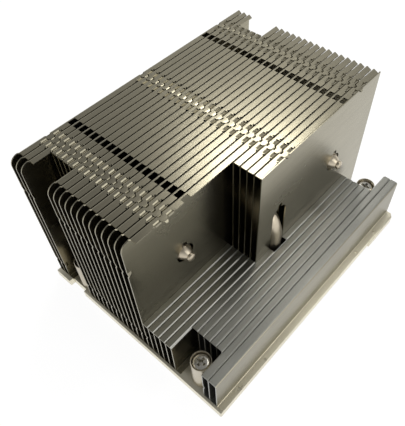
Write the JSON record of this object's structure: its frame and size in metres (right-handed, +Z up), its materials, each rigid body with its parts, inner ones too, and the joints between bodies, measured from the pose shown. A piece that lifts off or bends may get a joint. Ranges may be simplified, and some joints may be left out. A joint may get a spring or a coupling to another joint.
{
  "type": "passive server processor heatsink",
  "caption": "Passive server processor heatsink: folded sheet fins on a flat base, stepped down along one side, with heat pipes through the fins and sprung captive screws at the corners",
  "frame": {"origin": "centre of the base plate's underside, at the middle of the whole outline seen from above", "axes": "+X across the fins towards the low side, +Y along the fins towards the end without the rounded corners, +Z up from the processor"},
  "size_m": [0.082, 0.104, 0.0612],
  "materials": {
    "base_plate": "bright plated, fine milled",
    "fin_sheet": "satin rolled sheet",
    "heat_pipe": "bright nickel plated",
    "screw_cup": "plated, turned",
    "screw": "bright plated",
    "spring": "drawn wire",
    "clip": "stamped spring steel"
  },
  "bodies": {
    "heatsink": {"base_plate": "base_plate", "fin_01": "fin_sheet", "fin_02": "fin_sheet", "fin_03": "fin_sheet", "fin_04": "fin_sheet", "fin_05": "fin_sheet", "fin_06": "fin_sheet", "fin_07": "fin_sheet", "fin_08": "fin_sheet", "fin_09": "fin_sheet", "fin_10": "fin_sheet", "fin_11": "fin_sheet", "fin_12": "fin_sheet", "fin_13": "fin_sheet", "fin_14": "fin_sheet", "fin_15": "fin_sheet", "fin_16": "fin_sheet", "fin_17": "fin_sheet", "fin_18": "fin_sheet", "fin_19": "fin_sheet", "fin_20": "fin_sheet", "fin_21": "fin_sheet", "fin_22": "fin_sheet", "fin_23": "fin_sheet", "fin_24": "fin_sheet", "fin_25": "fin_sheet", "fin_26": "fin_sheet", "fin_27": "fin_sheet", "fin_28": "fin_sheet", "fin_29": "fin_sheet", "fin_30": "fin_sheet", "fin_31": "fin_sheet", "fin_32": "fin_sheet", "heat_pipe_front": "heat_pipe", "heat_pipe_middle": "heat_pipe", "heat_pipe_rear": "heat_pipe", "screw_cup_front_left": "screw_cup", "screw_cup_front_right": "screw_cup", "screw_cup_rear_left": "screw_cup", "screw_cup_rear_right": "screw_cup", "screw_spring_front_left": "spring", "screw_spring_front_right": "spring", "screw_spring_rear_left": "spring", "screw_spring_rear_right": "spring"},
    "clip_front_left": {"retaining_clip_front_left": "clip"},
    "screw_front_left": {"captive_screw_front_left": "screw"},
    "clip_front_right": {"retaining_clip_front_right": "clip"},
    "screw_front_right": {"captive_screw_front_right": "screw"},
    "clip_rear_left": {"retaining_clip_rear_left": "clip"},
    "screw_rear_left": {"captive_screw_rear_left": "screw"},
    "clip_rear_right": {"retaining_clip_rear_right": "clip"},
    "screw_rear_right": {"captive_screw_rear_right": "screw"}
  },
  "joints": [
    {"name": "screw_press_front_left", "type": "slide", "parent": "heatsink", "child": "clip_front_left", "axis": [0, 0, -1], "range_m": [0, 0.003], "stiffness_N_per_m": 5000, "springref_m": -0.003, "deforming": ["screw_spring_front_left"]},
    {"name": "screw_turn_front_left", "type": "hinge", "parent": "clip_front_left", "child": "screw_front_left", "pos_m": [-0.028, -0.0462, 0.01], "axis": [0, 0, 1], "continuous": true},
    {"name": "screw_press_front_right", "type": "slide", "parent": "heatsink", "child": "clip_front_right", "axis": [0, 0, -1], "range_m": [0, 0.003], "stiffness_N_per_m": 5000, "springref_m": -0.003, "deforming": ["screw_spring_front_right"]},
    {"name": "screw_turn_front_right", "type": "hinge", "parent": "clip_front_right", "child": "screw_front_right", "pos_m": [0.028, -0.0462, 0.01], "axis": [0, 0, 1], "continuous": true},
    {"name": "screw_press_rear_left", "type": "slide", "parent": "heatsink", "child": "clip_rear_left", "axis": [0, 0, -1], "range_m": [0, 0.003], "stiffness_N_per_m": 5000, "springref_m": -0.003, "deforming": ["screw_spring_rear_left"]},
    {"name": "screw_turn_rear_left", "type": "hinge", "parent": "clip_rear_left", "child": "screw_rear_left", "pos_m": [-0.028, 0.0478, 0.01], "axis": [0, 0, 1], "continuous": true},
    {"name": "screw_press_rear_right", "type": "slide", "parent": "heatsink", "child": "clip_rear_right", "axis": [0, 0, -1], "range_m": [0, 0.003], "stiffness_N_per_m": 5000, "springref_m": -0.003, "deforming": ["screw_spring_rear_right"]},
    {"name": "screw_turn_rear_right", "type": "hinge", "parent": "clip_rear_right", "child": "screw_rear_right", "pos_m": [0.028, 0.0478, 0.01], "axis": [0, 0, 1], "continuous": true}
  ]
}
